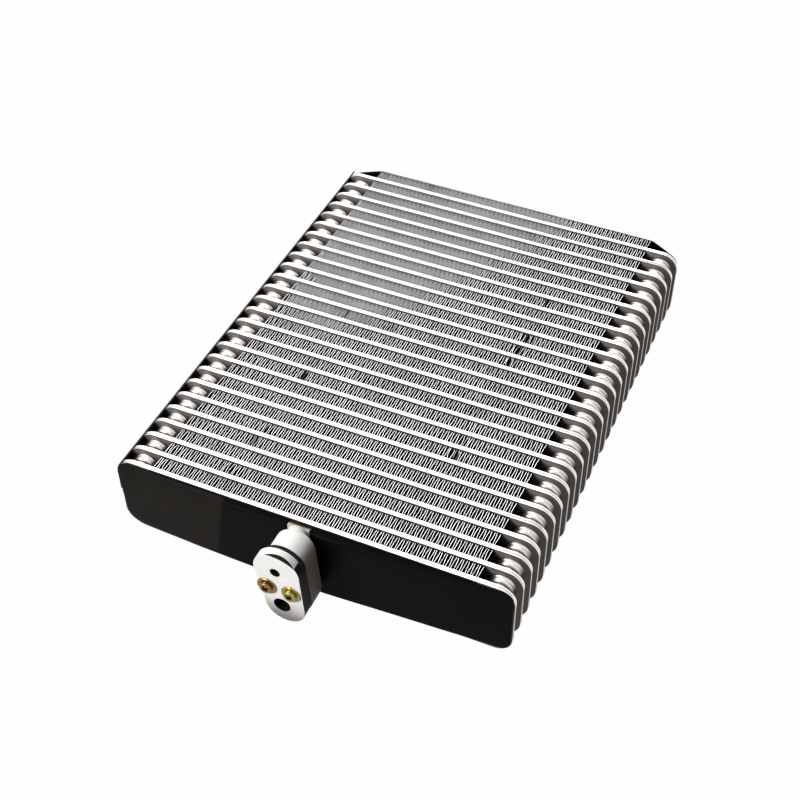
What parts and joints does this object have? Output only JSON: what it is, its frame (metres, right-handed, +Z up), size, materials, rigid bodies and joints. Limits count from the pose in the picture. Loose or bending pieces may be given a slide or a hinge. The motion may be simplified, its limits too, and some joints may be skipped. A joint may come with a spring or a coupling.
{
  "type": "evaporator core",
  "caption": "Laminated plate-and-fin evaporator core lying flat, with tank cups at both ends of its tubes and a bolted two-port joint block on the front.",
  "frame": {"origin": "middle of the base of the bounding box, with the core lying flat on the lower edges of its plates", "axes": "+Y runs along the stack, away from the joint block, and is the longest extent. +X runs along the tubes to the right, seen from the joint block. +Z points up through the depth of the core, which is the way the air goes, and is the shortest extent."},
  "size_m": [0.2188, 0.3162, 0.0478],
  "materials": {
    "tube_aluminium": "brazed, satin",
    "fin_aluminium": "thin strip, satin",
    "cast_aluminium": "cast and milled, matt",
    "seal_rubber": "matt",
    "zinc_steel": "yellow zinc plating",
    "insulation_sheet": "semi-gloss skin",
    "foam_tape": "matt closed-cell foam"
  },
  "bodies": {
    "root": {"tube_01": "tube_aluminium", "tube_02": "tube_aluminium", "tube_03": "tube_aluminium", "tube_04": "tube_aluminium", "tube_05": "tube_aluminium", "tube_06": "tube_aluminium", "tube_07": "tube_aluminium", "tube_08": "tube_aluminium", "tube_09": "tube_aluminium", "tube_10": "tube_aluminium", "tube_11": "tube_aluminium", "tube_12": "tube_aluminium", "tube_13": "tube_aluminium", "tube_14": "tube_aluminium", "tube_15": "tube_aluminium", "tube_16": "tube_aluminium", "tube_17": "tube_aluminium", "tube_18": "tube_aluminium", "tube_19": "tube_aluminium", "tube_20": "tube_aluminium", "tube_21": "tube_aluminium", "tube_22": "tube_aluminium", "tube_23": "tube_aluminium", "tube_24": "tube_aluminium", "tube_25": "tube_aluminium", "tube_26": "tube_aluminium", "fin_01": "fin_aluminium", "fin_02": "fin_aluminium", "fin_03": "fin_aluminium", "fin_04": "fin_aluminium", "fin_05": "fin_aluminium", "fin_06": "fin_aluminium", "fin_07": "fin_aluminium", "fin_08": "fin_aluminium", "fin_09": "fin_aluminium", "fin_10": "fin_aluminium", "fin_11": "fin_aluminium", "fin_12": "fin_aluminium", "fin_13": "fin_aluminium", "fin_14": "fin_aluminium", "fin_15": "fin_aluminium", "fin_16": "fin_aluminium", "fin_17": "fin_aluminium", "fin_18": "fin_aluminium", "fin_19": "fin_aluminium", "fin_20": "fin_aluminium", "fin_21": "fin_aluminium", "fin_22": "fin_aluminium", "fin_23": "fin_aluminium", "fin_24": "fin_aluminium", "fin_25": "fin_aluminium", "fin_26": "fin_aluminium", "front_duct_cover": "tube_aluminium", "joint_block": "cast_aluminium", "joint_seal": "seal_rubber", "flange_plate": "cast_aluminium", "flange_screws": "zinc_steel", "front_sheet": "insulation_sheet", "back_sheet": "insulation_sheet", "side_tape": "foam_tape"}
  },
  "joints": []
}
